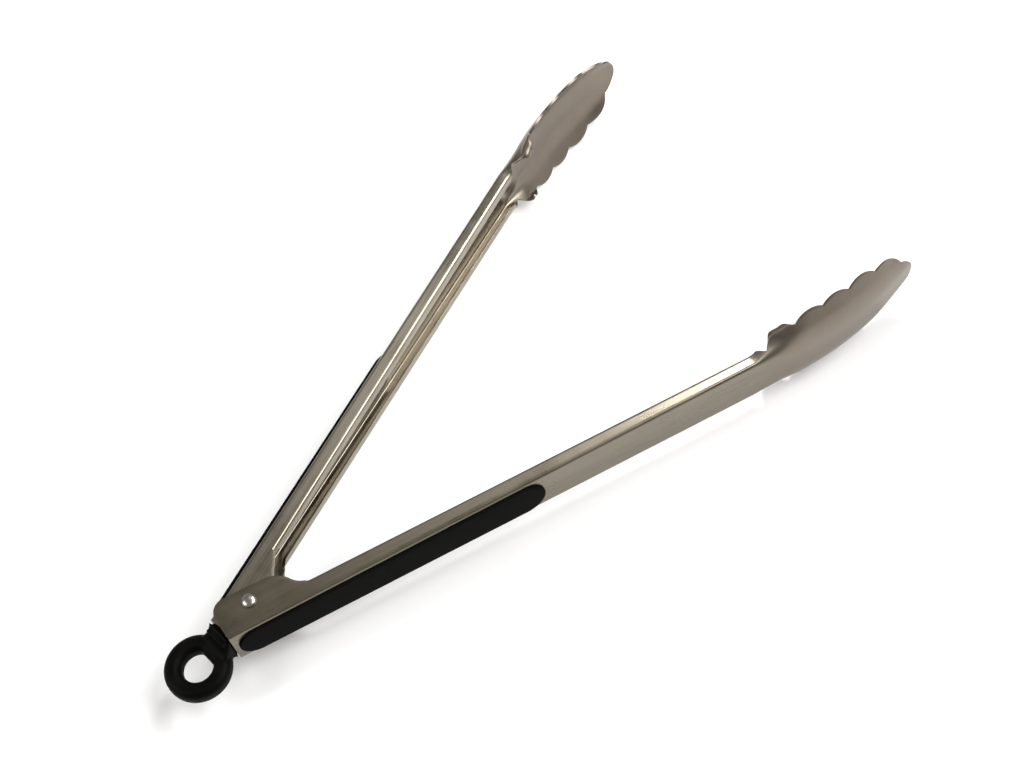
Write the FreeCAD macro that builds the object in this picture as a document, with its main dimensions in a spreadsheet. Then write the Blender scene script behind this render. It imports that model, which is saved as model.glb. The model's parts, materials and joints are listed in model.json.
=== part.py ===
import FreeCAD, Part
import math
import os
import Sketcher

# Spring loaded kitchen tongs: two channel arms on one rivet, a torsion spring and a pull-ring lock.
#
# Every piece is modelled about the hinge: the rivet axis is Z through the origin, +X runs
# towards the heads and an arm's web lies on +Y. Placements then open the arms and lift the
# whole assembly, so that the model's origin is under the middle of the tongs, on the ground.

os.makedirs("parts", exist_ok=True)
doc = FreeCAD.newDocument("kitchen_tongs")
V = FreeCAD.Vector

# ---------------------------------------------------------------- driving dimensions
SIZES = {
    # stance
    "open_angle": 16.2,         # each arm from the centre line, at rest
    "hinge_forward": -116.2,    # hinge axis from the origin, along X
    "hinge_height": 20.66,      # middle of the hinge above the ground
    # arm channel, as lines that rise over taper_span
    "sheet_gauge": 1.0,
    "taper_span": 200.0,
    "web_offset": 9.9,          # rivet axis to the outer face of the web
    "web_rise": 3.1,
    "rim_offset": 3.1,          # rivet axis to the channel's free edge
    "rim_rise": 4.7,
    "outer_width": 19.3,
    "outer_widen": 3.2,
    "inner_width": 16.5,        # nests between the outer arm's cheeks
    "inner_widen": 5.8,
    "bend_radius": 1.6,
    "lip_width": 3.0,
    "lip_start": 22.5,
    "lip_end": 206.0,
    "lip_inset": 0.3,           # the lip starts this far inside the wall's face
    "overlap": 2.5,             # how far joined stretches of one sheet run into each other
    "rear_reach": 12.2,
    "rear_rake": 0.13,          # lean of the cheeks' rear edge
    "head_start": 204.0,
    "tip_reach": 285.0,
    # hinge hardware
    "rivet_radius": 1.7,
    "rivet_fit": 0.05,
    "dome_radius": 2.7,
    "dome_height": 1.5,
    "spool_radius": 2.4,
    "spool_fit": 0.06,
    "flange_radius": 5.6,
    "flange_gauge": 0.8,
    "wire_radius": 0.75,
    "coil_turns": 5.0,          # whole turns, less the angle between the legs
    "coil_pitch": 1.6,
    "coil_floor": -2.05,
    "coil_clearance": 0.35,     # coil to spool, and legs to the arms' webs
    "leg_reach": 20.0,
    # lock plate and ring
    "lock_level": -3.6,         # middle of the plate and of the ring
    "lock_travel": 9.5,
    "plate_gauge": 1.2,
    "plate_half": 4.2,
    "slot_play": 0.2,
    "wing_half": 8.1,
    "wing_rear": -1.5,
    "wing_front": 2.2,
    "wing_ramp": 2.4,           # length of the lead-in on each wing
    "plate_end_gap": 2.5,       # end of the plate, behind the ring's hole
    "ring_centre": -28.1,
    "ring_outer": 12.4,
    "hole_radius": 5.75,
    "ring_height": 8.0,
    "ring_round": 2.9,
    "waist_gap": 4.6,           # start of the collar, behind the ring's hole
    "collar_gap": 2.6,          # collar face, behind the arms' rear ends
    "collar_flare": 1.5,
    "collar_half": 6.0,
    "collar_tall": 16.0,
    "tongue_half": 4.6,
    "tongue_tall": 13.4,
    "tongue_entry": 1.4,        # how far the tongue stops short of the arms' rear ends' inside
    # grips
    "grip_rear": -10.4,
    "grip_front": 113.8,
    "grip_rear_radius": 7.6,
    "grip_front_radius": 8.7,
    "grip_gauge": 1.25,
    "window_rear": 24.0,
    "window_front": 106.0,
    "window_half": 5.0,
    "carrier_margin": 0.8,
    "carrier_gauge": 0.8,
}


def make_sheet():
    sheet = doc.addObject("Spreadsheet::Sheet", "dims")
    for row, (name, value) in enumerate(SIZES.items(), start=1):
        sheet.set(f"A{row}", name)
        sheet.set(f"B{row}", str(value))
        sheet.setAlias(f"B{row}", name)
    doc.recompute()
    return sheet


dims = make_sheet()


def size(name):
    return float(dims.get(name))


# ---------------------------------------------------------------- placements
HINGE = V(size("hinge_forward"), 0, size("hinge_height"))
UP = V(0, 0, 1)


def hinge_placement():
    return FreeCAD.Placement(HINGE, FreeCAD.Rotation())


def arm_placement(side):
    """side +1 turns an arm to +Y; side -1 rolls it over and turns it to -Y."""
    turn = FreeCAD.Rotation(UP, side * size("open_angle"))
    roll = FreeCAD.Rotation(V(1, 0, 0), 0 if side > 0 else 180)
    return FreeCAD.Placement(HINGE, turn.multiply(roll))


# ---------------------------------------------------------------- sketch helpers
def new_body(name, placement):
    body = doc.addObject("PartDesign::Body", name)
    body.Label = name
    body.Placement = placement
    return body


def new_sketch(body, name, plane, lift=None):
    sketch = body.newObject("Sketcher::SketchObject", name)
    origin_plane = [f for f in body.Origin.OriginFeatures if f.Role == plane][0]
    sketch.AttachmentSupport = (origin_plane, [""])
    sketch.MapMode = "FlatFace"
    if lift:
        sketch.setExpression("AttachmentOffset.Base.z", lift)
    return sketch


def bind_point(sketch, edge, end, across, along):
    """Hold one end of an edge at two sheet expressions."""
    for kind, formula in (("DistanceX", across), ("DistanceY", along)):
        held = Sketcher.Constraint(kind, -1, 1, edge, end, evaluate(formula))
        index = sketch.addConstraint(held)
        sketch.setExpression(f"Constraints[{index}]", formula)


def evaluate(formula):
    return float(dims.evalExpression(formula.replace("dims.", "")))


def polygon(sketch, corners):
    """A closed outline of straight edges, each corner held by a pair of expressions."""
    points = [V(evaluate(a), evaluate(b), 0) for a, b in corners]
    count = len(points)
    for i in range(count):
        sketch.addGeometry(Part.LineSegment(points[i], points[(i + 1) % count]), False)
    for i in range(count):
        sketch.addConstraint(Sketcher.Constraint("Coincident", i, 2, (i + 1) % count, 1))
    for i, (across, along) in enumerate(corners):
        bind_point(sketch, i, 1, across, along)
    return sketch


def round_slot(sketch, rear, rear_radius, front, front_radius):
    """Two end arcs on the X axis and the two lines that touch them."""
    first = len(sketch.Geometry)
    xr, rr, xf, rf = (evaluate(f) for f in (rear, rear_radius, front, front_radius))
    lean = math.asin((rf - rr) / ((xf - rf) - (xr + rr)))
    top = math.pi / 2 + lean
    centres = (V(xf - rf, 0, 0), V(xr + rr, 0, 0))
    arcs = (Part.ArcOfCircle(Part.Circle(centres[0], UP, rf), -top, top),
            Part.ArcOfCircle(Part.Circle(centres[1], UP, rr), top, 2 * math.pi - top))
    for arc in arcs:
        sketch.addGeometry(arc, False)
    sketch.addGeometry(Part.LineSegment(arcs[0].EndPoint, arcs[1].StartPoint), False)
    sketch.addGeometry(Part.LineSegment(arcs[1].EndPoint, arcs[0].StartPoint), False)
    front_arc, rear_arc, upper, lower = range(first, first + 4)
    joints = ((front_arc, 2, upper, 1), (upper, 2, rear_arc, 1),
              (rear_arc, 2, lower, 1), (lower, 2, front_arc, 1))
    for joint in joints:
        sketch.addConstraint(Sketcher.Constraint("Tangent", *joint))
    bind_point(sketch, front_arc, 3, f"{front} - {front_radius}", "0")
    bind_point(sketch, rear_arc, 3, f"{rear} + {rear_radius}", "0")
    for arc, radius in ((front_arc, front_radius), (rear_arc, rear_radius)):
        index = sketch.addConstraint(Sketcher.Constraint("Radius", arc, evaluate(radius)))
        sketch.setExpression(f"Constraints[{index}]", radius)
    return sketch


def pad(body, name, sketch, length, midplane=False, backwards=False):
    feature = body.newObject("PartDesign::Pad", name)
    feature.Profile = sketch
    feature.setExpression("Length", length)
    feature.Midplane = midplane
    feature.Reversed = backwards
    return feature


def pocket(body, name, sketch, depth=None):
    """Cut both ways from the sketch: right through, or to a total depth."""
    feature = body.newObject("PartDesign::Pocket", name)
    feature.Profile = sketch
    feature.Midplane = True
    if depth:
        feature.setExpression("Length", depth)
    else:
        feature.Type = "ThroughAll"
    return feature


def turn(body, name, sketch):
    """Revolve a profile drawn on XZ about the sketch's own vertical axis."""
    feature = body.newObject("PartDesign::Revolution", name)
    feature.Profile = sketch
    feature.ReferenceAxis = (sketch, ["V_Axis"])
    feature.Angle = 360
    return feature


def fillet(body, name, base, radius, chosen):
    """Round the edges of base that the test chooses."""
    doc.recompute()
    names = [f"Edge{i}" for i, edge in enumerate(base.Shape.Edges, start=1) if chosen(edge)]
    feature = body.newObject("PartDesign::Fillet", name)
    feature.Base = (base, names)
    feature.setExpression("Radius", radius)
    return feature


# ---------------------------------------------------------------- arm pressing
# Head stations: distance from the hinge, spine offset, half width of the flat floor,
# radius and turn in degrees of the shoulder, length of the straight wall beyond it.
HEAD_STATIONS = (
    (215.0, 13.7, 6.8, 7.5, 58.0, 4.0),
    (227.0, 13.8, 5.0, 19.0, 34.0, 7.0),
    (240.0, 13.2, 4.5, 21.0, 31.0, 8.0),
    (252.0, 11.6, 4.5, 21.0, 31.0, 8.0),
    (265.0, 8.7, 4.5, 19.0, 32.0, 8.0),
    (277.0, 4.6, 3.8, 13.5, 38.0, 7.5),
    (287.0, 0.7, 3.2, 11.0, 43.0, 6.0),
)
# Valleys of the scalloped rim: distance from the hinge, half width, and how far the
# lobe that follows each one stands out.
RIM_VALLEYS = (
    (210.3, 15.4, 2.3),
    (225.0, 17.7, 2.1),
    (238.0, 19.1, 1.8),
    (250.5, 18.6, 2.3),
    (264.2, 17.0, 2.6),
)
TIP_NOTCH = (278.6, 9.4)
# Cheek outlines about the rivet, as three-point arcs in X and Y.
OUTER_CORNER = ((-13.4, 0.8), (-12.6, -3.5), (-8.4, -5.8))
OUTER_HUMP = ((7.0, -5.1), (12.6, -3.8), (16.4, -0.2))
OUTER_HOLLOW_MIDDLE = (19.0, 2.4)
OUTER_EAR_FRONT = 23.0
INNER_EAR_SWEEP = 7.9
INNER_EAR_TURNS = (12, 60, 118)
INNER_EAR_REAR = (-12.9, 2.2)
INNER_EAR_FRONT = 21.5
NECK = (206.5, 12.6)        # outline where the channel opens into the head
OUTLINE_MARGIN = 30.0       # how far cutting shapes reach past the sheet
HOLE_MARGIN = 3.0


def along(base, rise, x):
    return size(base) + size(rise) * x / size("taper_span")


def u_section(x, spine, floor_half, radius, turn_deg, wall, gauge):
    """Closed outline of bent sheet at one station: floor, two shoulders and two walls."""
    angle = math.radians(turn_deg)
    centre = V(x, spine - radius, floor_half)

    def side(offset, sign):
        arc_radius = radius - offset
        def at(share):
            return V(x, centre.y + arc_radius * math.cos(angle * share),
                     sign * (centre.z + arc_radius * math.sin(angle * share)))
        start, middle, end = at(0), at(0.5), at(1)
        run = V(0, -math.sin(angle) * wall, sign * math.cos(angle) * wall)
        return start, middle, end, end.add(run)

    def path(offset):
        left, right = side(offset, -1), side(offset, 1)
        return [
            Part.LineSegment(left[3], left[2]).toShape(),
            Part.Arc(left[2], left[1], left[0]).toShape(),
            Part.LineSegment(left[0], right[0]).toShape(),
            Part.Arc(right[0], right[1], right[2]).toShape(),
            Part.LineSegment(right[2], right[3]).toShape(),
        ], left[3], right[3]

    outer, outer_left, outer_right = path(0)
    inner, inner_left, inner_right = path(gauge)
    inner_back = [Part.Edge(e.Curve, e.FirstParameter, e.LastParameter) for e in inner]
    edges = outer + [Part.LineSegment(outer_right, inner_right).toShape()]
    edges += list(reversed(inner_back)) + [Part.LineSegment(inner_left, outer_left).toShape()]
    return Part.Wire(Part.__sortEdges__(edges))


def channel_section(x, width, widen, rim):
    """The plain channel at one station, its walls reaching down to the offset rim."""
    half = along(width, widen, x) / 2
    web = along("web_offset", "web_rise", x)
    bend = size("bend_radius")
    return u_section(x, web, half - bend, bend, 90.0, web - bend - rim, size("sheet_gauge"))


def rim_at(x):
    return along("rim_offset", "rim_rise", x)


def slab(points, low, high):
    """A prism over a closed outline given in X and Y, from low to high in Z."""
    wire = points if isinstance(points, Part.Wire) else Part.makePolygon(points + points[:1])
    lifted = wire.copy()
    lifted.translate(V(0, 0, low))
    return Part.Face(lifted).extrude(V(0, 0, high - low))


def arc_through(start, end, bulge):
    """Arc between two points that stands out by bulge to the left of their run."""
    run = end.sub(start)
    middle = start.add(end).multiply(0.5)
    out = V(-run.y, run.x, 0).normalize().multiply(bulge)
    return Part.Arc(start, middle.add(out), end).toShape()


def rear_edge(y):
    """The cheek's raked rear edge, which meets the web at rear_reach."""
    return -size("rear_reach") + size("rear_rake") * (y - size("web_offset"))


def outer_ear():
    """Cheek outline about the rivet: straight rear edge, round corner, hump, hollow."""
    top = size("web_offset") + OUTLINE_MARGIN
    corner = [V(x, y, 0) for x, y in OUTER_CORNER]
    hump = [V(x, y, 0) for x, y in OUTER_HUMP]
    hollow = [hump[2], V(*OUTER_HOLLOW_MIDDLE, 0), V(OUTER_EAR_FRONT, rim_at(OUTER_EAR_FRONT), 0)]
    rear, front = V(rear_edge(top), top, 0), V(OUTER_EAR_FRONT, top, 0)
    return Part.Wire([
        Part.LineSegment(rear, corner[0]).toShape(),
        Part.Arc(*corner).toShape(),
        Part.LineSegment(corner[2], hump[0]).toShape(),
        Part.Arc(*hump).toShape(),
        Part.Arc(*hollow).toShape(),
        Part.LineSegment(hollow[2], front).toShape(),
        Part.LineSegment(front, rear).toShape(),
    ])


def inner_ear():
    """Cheek outline that stays within the sweep left free by the outer arm's web."""
    top = size("web_offset") + OUTLINE_MARGIN
    rear = V(*INNER_EAR_REAR, 0)
    turns = [math.radians(t) for t in INNER_EAR_TURNS]
    low = [V(-INNER_EAR_SWEEP * math.cos(t), -INNER_EAR_SWEEP * math.sin(t), 0) for t in turns]
    step = V(INNER_EAR_FRONT, rim_at(INNER_EAR_FRONT), 0)
    front = V(INNER_EAR_FRONT, top, 0)
    return Part.Wire([
        Part.LineSegment(V(rear_edge(top), top, 0), rear).toShape(),
        Part.LineSegment(rear, low[0]).toShape(),
        Part.Arc(*low).toShape(),
        Part.LineSegment(low[2], step).toShape(),
        Part.LineSegment(step, front).toShape(),
        Part.LineSegment(front, V(rear_edge(top), top, 0)).toShape(),
    ])


def ears(width, widen, outline):
    """The two deep cheeks round the rivet, with the web between them."""
    rear, front, deep = -20.0, 30.0, -12.0
    blank = Part.makeLoft([channel_section(rear, width, widen, deep),
                           channel_section(front, width, widen, deep)], True, True)
    return blank.common(slab(outline, -OUTLINE_MARGIN, OUTLINE_MARGIN))


def channel(width, widen):
    """The long channel in front of the ears."""
    start, end = size("lip_start") - size("overlap"), size("head_start")
    sections = [channel_section(x, width, widen, rim_at(x)) for x in (start, end)]
    return Part.makeLoft(sections, True, True)


def lips(width, widen):
    """The folded edges of the channel, two flat strips that close in on each other."""
    gauge, reach = size("sheet_gauge"), size("lip_width")
    pair = []
    for sign in (-1, 1):
        wires = []
        for x in (size("lip_start"), size("lip_end")):
            half = along(width, widen, x) / 2 - size("lip_inset")
            rim = rim_at(x)
            corners = [V(x, rim, sign * half), V(x, rim + gauge, sign * half),
                       V(x, rim + gauge, sign * (half - reach)), V(x, rim, sign * (half - reach))]
            wires.append(Part.makePolygon(corners + corners[:1]))
        pair.append(Part.makeLoft(wires, True, True))
    return pair


def scallop_outline():
    """The head's outline in X and Z: valleys joined by arcs, a round tip lobe, mirrored."""
    rear_x = size("lip_start") - 10
    rear = V(rear_x, OUTLINE_MARGIN, 0)
    shoulder = V(size("head_start"), OUTLINE_MARGIN, 0)
    neck = V(*NECK, 0)
    points = [V(x, z, 0) for x, z, _ in RIM_VALLEYS] + [V(*TIP_NOTCH, 0)]
    edges = [Part.LineSegment(rear, shoulder).toShape(), Part.LineSegment(shoulder, neck).toShape(),
             Part.LineSegment(neck, points[0]).toShape()]
    for i, (_, _, bulge) in enumerate(RIM_VALLEYS):
        edges.append(arc_through(points[i], points[i + 1], bulge))
    upper = Part.Wire(edges)
    lower = upper.mirror(V(0, 0, 0), V(0, 1, 0))
    notch = points[-1]
    tip = Part.Arc(notch, V(size("tip_reach"), 0, 0), V(notch.x, -notch.y, 0)).toShape()
    back = Part.LineSegment(V(rear.x, -rear.y, 0), rear).toShape()
    outline = Part.Wire(Part.__sortEdges__(upper.Edges + [tip] + lower.Edges + [back]))
    outline.rotate(V(0, 0, 0), V(1, 0, 0), 90)
    return outline


def head(width, widen):
    """The scooped head: sections lofted from the channel to the tip, then scalloped."""
    gauge = size("sheet_gauge")
    start = size("head_start")
    sections = [channel_section(start, width, widen, rim_at(start))]
    sections += [u_section(*station, gauge) for station in HEAD_STATIONS]
    blank = Part.makeLoft(sections, True, False)
    outline = scallop_outline()
    outline.translate(V(0, -OUTLINE_MARGIN, 0))
    return blank.common(Part.Face(outline).extrude(V(0, 2 * OUTLINE_MARGIN, 0)))


def window():
    """Round-ended opening through the web, behind the grip."""
    half, rear, front = size("window_half"), size("window_rear"), size("window_front")
    low, high = 2.0, 20.0
    cutter = Part.makeBox(front - rear - 2 * half, high - low, 2 * half, V(rear + half, low, -half))
    for x in (rear + half, front - half):
        cutter = cutter.fuse(Part.makeCylinder(half, high - low, V(x, low, 0), V(0, 1, 0)))
    return cutter.removeSplitter()


def make_arm(name, side, width, widen, ear_outline):
    stretches = [channel(width, widen), head(width, widen)] + lips(width, widen)
    body = ears(width, widen, ear_outline).fuse(stretches)
    body = body.removeSplitter().cut(window())
    reach = size(width) / 2 + HOLE_MARGIN
    body = body.cut(Part.makeCylinder(size("rivet_radius") + size("rivet_fit"), 2 * reach, V(0, 0, -reach)))
    arm = doc.addObject("Part::Feature", name)
    arm.Label = name
    arm.Shape = body.Solids[0] if len(body.Solids) == 1 else body
    arm.Placement = arm_placement(side)
    return arm


# ---------------------------------------------------------------- grips
def web_tilt():
    return math.degrees(math.atan2(size("web_rise"), size("taper_span")))


def web_placement(side):
    """Local XZ is the web's outer face, local +Y points out of the arm."""
    on_web = FreeCAD.Placement(V(0, size("web_offset"), 0), FreeCAD.Rotation(UP, web_tilt()))
    return arm_placement(side).multiply(on_web)


def make_grip(name, side):
    """Soft pad on the web with a boss that fills the front of the window."""
    body = new_body(name, web_placement(side))
    outline = new_sketch(body, name + "_outline", "XZ_Plane")
    round_slot(outline, "dims.grip_rear", "dims.grip_rear_radius",
               "dims.grip_front", "dims.grip_front_radius")
    blank = pad(body, name + "_blank", outline, "dims.grip_gauge", backwards=True)
    crown = evaluate("dims.grip_gauge")
    rounded = fillet(body, name + "_crown", blank, "dims.grip_gauge * 0.8",
                     lambda e: abs(e.BoundBox.YMin - crown) < 0.01 and abs(e.BoundBox.YMax - crown) < 0.01)
    body.Tip = rounded
    return body


def make_carrier(name, side):
    """Hard strip inside the channel; its boss comes through the window to the grip."""
    body = new_body(name, web_placement(side))
    strip = new_sketch(body, name + "_strip", "XZ_Plane", "dims.sheet_gauge")
    round_slot(strip, "dims.window_rear - dims.carrier_margin", "dims.window_half + dims.carrier_margin",
               "dims.window_front + dims.carrier_margin", "dims.window_half + dims.carrier_margin")
    pad(body, name + "_plate", strip, "dims.carrier_gauge")
    boss = new_sketch(body, name + "_boss_outline", "XZ_Plane")
    round_slot(boss, "dims.window_rear + dims.slot_play", "dims.window_half - dims.slot_play",
               "dims.window_front - dims.slot_play", "dims.window_half - dims.slot_play")
    body.Tip = pad(body, name + "_boss", boss, "dims.sheet_gauge")
    return body


# ---------------------------------------------------------------- hinge hardware
def make_rivet():
    """Domed pin through all four cheeks, drawn as half a section and turned."""
    body = new_body("pivot_rivet", hinge_placement())
    half = new_sketch(body, "rivet_section", "XZ_Plane")
    seat = "dims.outer_width / 2 + dims.rivet_fit * 2"
    polygon(half, [
        ("0", f"-({seat} + dims.dome_height)"),
        ("dims.dome_radius * 0.45", f"-({seat} + dims.dome_height)"),
        ("dims.dome_radius * 0.85", f"-({seat} + dims.dome_height * 0.62)"),
        ("dims.dome_radius", f"-({seat})"),
        ("dims.rivet_radius", f"-({seat})"),
        ("dims.rivet_radius", seat),
        ("dims.dome_radius", seat),
        ("dims.dome_radius * 0.85", f"{seat} + dims.dome_height * 0.62"),
        ("dims.dome_radius * 0.45", f"{seat} + dims.dome_height"),
        ("0", f"{seat} + dims.dome_height"),
    ])
    pin = turn(body, "rivet_pin", half)
    crown = evaluate("dims.outer_width / 2 + dims.dome_height * 0.3")
    rims = fillet(body, "rivet_domes", pin, "dims.dome_height * 0.6",
                  lambda e: abs(e.BoundBox.ZMin) > crown and abs(e.BoundBox.ZMin - e.BoundBox.ZMax) < 0.01)
    body.Tip = rims
    return body


def make_spool():
    """Sleeve on the rivet with a flange above and below the coil, free to turn."""
    body = new_body("spring_spool", hinge_placement())
    half = new_sketch(body, "spool_section", "XZ_Plane")
    end = "(dims.inner_width / 2 - dims.sheet_gauge - dims.rivet_fit * 4)"
    polygon(half, [
        ("dims.rivet_radius + dims.spool_fit", f"-{end}"),
        ("dims.spool_radius", f"-{end}"),
        ("dims.spool_radius", f"{end} - dims.flange_gauge"),
        ("dims.flange_radius", f"{end} - dims.flange_gauge"),
        ("dims.flange_radius", end),
        ("dims.rivet_radius + dims.spool_fit", end),
    ])
    body.Tip = turn(body, "spool", half)
    return body


def make_spring():
    """Coil round the spool with a straight leg into each arm."""
    radius = size("wire_radius")
    coil_radius = size("spool_radius") + radius + size("coil_clearance")
    floor, pitch, turns = size("coil_floor"), size("coil_pitch"), size("coil_turns")
    opening = math.radians(size("open_angle"))
    inside = size("web_offset") - size("sheet_gauge") - radius - size("coil_clearance")
    lean = math.atan2(inside + size("web_rise") * size("leg_reach") / size("taper_span") - coil_radius,
                      size("leg_reach"))
    start = math.pi / 2 + opening + lean
    end = -start
    sweep = 2 * math.pi * turns + (end - start)
    rise = pitch * sweep / (2 * math.pi)
    helix = Part.makeHelix(pitch, rise, coil_radius)
    helix.rotate(V(0, 0, 0), UP, math.degrees(start))
    helix.translate(V(0, 0, floor))

    def leg(angle, level, heading):
        foot = V(coil_radius * math.cos(angle), coil_radius * math.sin(angle), level)
        way = V(-math.sin(angle), math.cos(angle), 0).multiply(heading * size("leg_reach"))
        return foot, foot.add(way)

    low_foot, low_end = leg(start, floor, -1)
    high_foot, high_end = leg(end, floor + rise, 1)
    path = Part.Wire([Part.LineSegment(low_end, low_foot).toShape()] + helix.Edges
                     + [Part.LineSegment(high_foot, high_end).toShape()])
    section = Part.Wire([Part.Circle(low_end, low_foot.sub(low_end), radius).toShape()])
    spring = doc.addObject("Part::Feature", "torsion_spring")
    spring.Label = "torsion_spring"
    spring.Shape = path.makePipeShell([section], True, True)
    spring.Placement = hinge_placement()
    return spring


# ---------------------------------------------------------------- lock
PLATE_TAIL = "dims.ring_centre + dims.hole_radius + dims.plate_end_gap"


def make_lock_plate():
    """Slotted strip that rides on the spool; its wings block the arms' rear ends."""
    body = new_body("lock_plate", hinge_placement())
    outline = new_sketch(body, "plate_outline", "XY_Plane", "dims.lock_level")
    nose = "dims.spool_radius + dims.lock_travel + dims.plate_half"
    half = "dims.plate_half"
    polygon(outline, [
        (PLATE_TAIL, f"-{half}"), ("dims.wing_rear", f"-{half}"),
        ("dims.wing_rear", "-(dims.wing_half - 1)"), ("dims.wing_rear + dims.wing_ramp", "-dims.wing_half"),
        ("dims.wing_front", "-dims.wing_half"), ("dims.wing_front", f"-{half}"),
        (nose, f"-{half}"), (nose, half),
        ("dims.wing_front", half), ("dims.wing_front", "dims.wing_half"),
        ("dims.wing_rear + dims.wing_ramp", "dims.wing_half"), ("dims.wing_rear", "dims.wing_half - 1"),
        ("dims.wing_rear", half), (PLATE_TAIL, half),
    ])
    strip = pad(body, "plate_blank", outline, "dims.plate_gauge", midplane=True)
    doc.recompute()
    whole = strip.Shape.Volume
    slot = new_sketch(body, "plate_slot", "XY_Plane", "dims.lock_level")
    wide = "dims.spool_radius + dims.slot_play / 2"
    round_slot(slot, f"-({wide})", wide, f"dims.lock_travel + {wide}", wide)
    cut = pocket(body, "plate_slotted", slot)
    doc.recompute()
    if cut.Shape.Volume > whole - 10:
        raise RuntimeError("the slot cut nothing from the lock plate")
    corners = fillet(body, "plate_nose", cut, "dims.plate_half * 0.45",
                     lambda e: e.BoundBox.XMin > evaluate(nose) - 0.01 and e.BoundBox.ZLength > 1)
    body.Tip = corners
    return body


def make_ring():
    """Moulded pull ring; its collar and tongue fill the gap between the arms' rear ends."""
    body = new_body("pull_ring", hinge_placement())
    section = new_sketch(body, "ring_section", "XZ_Plane")
    low, high = "dims.lock_level - dims.ring_height / 2", "dims.lock_level + dims.ring_height / 2"
    polygon(section, [("dims.hole_radius", low), ("dims.ring_outer", low),
                      ("dims.ring_outer", high), ("dims.hole_radius", high)])
    section.setExpression("AttachmentOffset.Base.x", "dims.ring_centre")
    band = turn(body, "ring_band", section)
    rounded = fillet(body, "ring_round_edges", band, "dims.ring_round", lambda e: e.BoundBox.ZLength < 0.01)

    waist = "dims.ring_centre + dims.hole_radius + dims.waist_gap"
    face = "-(dims.rear_reach + dims.collar_gap)"
    collar = new_sketch(body, "collar_outline", "XY_Plane")
    polygon(collar, [
        (waist, "-(dims.collar_half + dims.collar_flare)"), (face, "-dims.collar_half"),
        (face, "dims.collar_half"), (waist, "dims.collar_half + dims.collar_flare"),
    ])
    pad(body, "collar", collar, "dims.collar_tall", midplane=True)
    inside = "-(dims.rear_reach - dims.tongue_entry)"
    tongue = new_sketch(body, "tongue_outline", "XY_Plane")
    polygon(tongue, [
        (waist, "-dims.tongue_half"), (inside, "-dims.tongue_half"),
        (inside, "dims.tongue_half"), (waist, "dims.tongue_half"),
    ])
    moulded = pad(body, "tongue", tongue, "dims.tongue_tall", midplane=True)
    doc.recompute()
    whole = moulded.Shape.Volume
    seat = new_sketch(body, "plate_seat_outline", "XY_Plane", "dims.lock_level")
    polygon(seat, [
        (PLATE_TAIL, "-dims.plate_half"), ("0", "-dims.plate_half"),
        ("0", "dims.plate_half"), (PLATE_TAIL, "dims.plate_half"),
    ])
    seated = pocket(body, "plate_seat", seat, "dims.plate_gauge")
    doc.recompute()
    if seated.Shape.Volume > whole - 10:
        raise RuntimeError("the ring has no seat for the lock plate")
    body.Tip = seated
    return body


# ---------------------------------------------------------------- assembly and export
def build_all():
    return [
        make_arm("outer_arm", -1, "outer_width", "outer_widen", outer_ear()),
        make_arm("inner_arm", 1, "inner_width", "inner_widen", inner_ear()),
        make_grip("outer_grip", -1),
        make_grip("inner_grip", 1),
        make_carrier("outer_grip_carrier", -1),
        make_carrier("inner_grip_carrier", 1),
        make_rivet(),
        make_spool(),
        make_spring(),
        make_lock_plate(),
        make_ring(),
    ]


def check_and_export(pieces):
    doc.recompute()
    for item in doc.Objects:
        if "Invalid" in item.State or "Error" in item.State:
            raise RuntimeError(f"{item.Name} is {item.State}")
    for piece in pieces:
        shape = piece.Shape
        if shape.isNull() or not shape.isValid() or len(shape.Solids) != 1:
            raise RuntimeError(f"{piece.Label} has no single valid solid")
        box = shape.BoundBox
        print(f"{piece.Label:20s} volume {shape.Volume:9.1f}  x {box.XMin:7.2f} {box.XMax:7.2f}"
              f"  y {box.YMin:7.2f} {box.YMax:7.2f}  z {box.ZMin:7.2f} {box.ZMax:7.2f}")
        shape.exportStep(f"parts/{piece.Label}.step")


check_and_export(build_all())
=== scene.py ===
import bisect
import json
import math
import bmesh
import bpy
from mathutils import Matrix, Vector


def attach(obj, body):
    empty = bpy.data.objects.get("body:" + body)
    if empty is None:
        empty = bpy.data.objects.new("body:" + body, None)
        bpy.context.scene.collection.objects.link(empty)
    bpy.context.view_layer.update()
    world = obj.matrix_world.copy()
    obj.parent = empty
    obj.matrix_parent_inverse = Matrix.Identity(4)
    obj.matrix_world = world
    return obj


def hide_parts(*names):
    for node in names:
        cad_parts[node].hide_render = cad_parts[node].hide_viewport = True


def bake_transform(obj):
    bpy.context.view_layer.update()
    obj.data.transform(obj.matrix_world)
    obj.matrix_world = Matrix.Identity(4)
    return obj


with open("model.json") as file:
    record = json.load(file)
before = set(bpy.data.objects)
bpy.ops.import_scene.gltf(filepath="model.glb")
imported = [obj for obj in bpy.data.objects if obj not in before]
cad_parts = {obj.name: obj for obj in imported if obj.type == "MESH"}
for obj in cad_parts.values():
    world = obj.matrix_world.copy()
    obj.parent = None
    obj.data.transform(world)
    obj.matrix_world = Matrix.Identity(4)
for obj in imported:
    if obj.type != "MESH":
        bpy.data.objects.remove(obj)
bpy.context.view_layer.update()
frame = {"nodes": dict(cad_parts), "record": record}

mm = 0.001
jointByName = {joint["name"]: joint for joint in frame["record"]["behaviour"]["joints"]}
hinge = Vector(jointByName["outer_arm_hinge"]["pos_m"])
openAngle = math.radians(jointByName["outer_arm_hinge"]["range_deg"][1])
print("frame loaded, hinge at", tuple(round(v, 4) for v in hinge))


# places: a piece is drawn in millimetres about the hinge, then put in the frame
def hingePlace():
    return Matrix.Translation(hinge) @ Matrix.Scale(mm, 4)


def armPlace(side):
    turn = Matrix.Rotation(side * openAngle, 4, "Z")
    roll = Matrix.Rotation(math.pi if side < 0 else 0.0, 4, "X")
    return Matrix.Translation(hinge) @ turn @ roll @ Matrix.Scale(mm, 4)


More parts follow.
